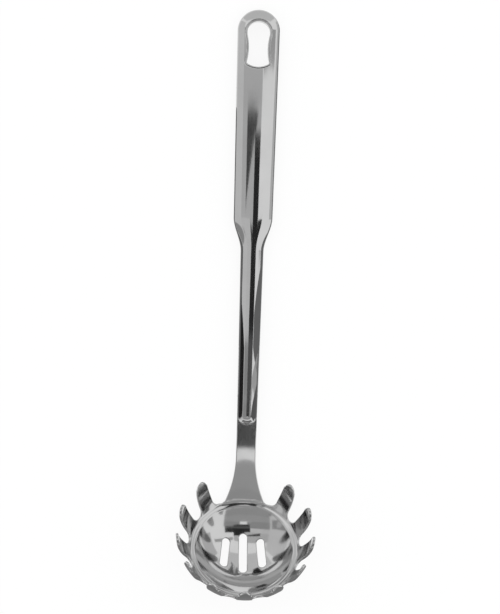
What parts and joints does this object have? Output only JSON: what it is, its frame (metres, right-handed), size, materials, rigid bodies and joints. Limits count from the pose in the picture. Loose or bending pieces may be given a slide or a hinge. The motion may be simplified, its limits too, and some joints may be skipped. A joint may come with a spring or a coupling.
{
  "type": "pasta server",
  "caption": "Polished steel pasta server: a slotted round bowl ringed with curled tines on a flat neck, welded into a hollow flattened handle with a lined hanging hole.",
  "frame": {"origin": "middle of the server's plan, on the flat surface that it lies on with its face up", "axes": "+Y along the handle from the tines to the hanging hole, +X across, +Z out of the front of the bowl"},
  "size_m": [0.0776, 0.3302, 0.0589],
  "materials": {
    "head_sheet": "stainless sheet, pressed and mirror polished",
    "handle_shell": "stainless pressing, welded at the seam and mirror polished",
    "hole_liner": "stainless sleeve, polished at its rims"
  },
  "bodies": {
    "root": {"server_head": "head_sheet", "handle_front_shell": "handle_shell", "handle_back_shell": "handle_shell", "hanging_hole_liner": "hole_liner"}
  },
  "joints": []
}
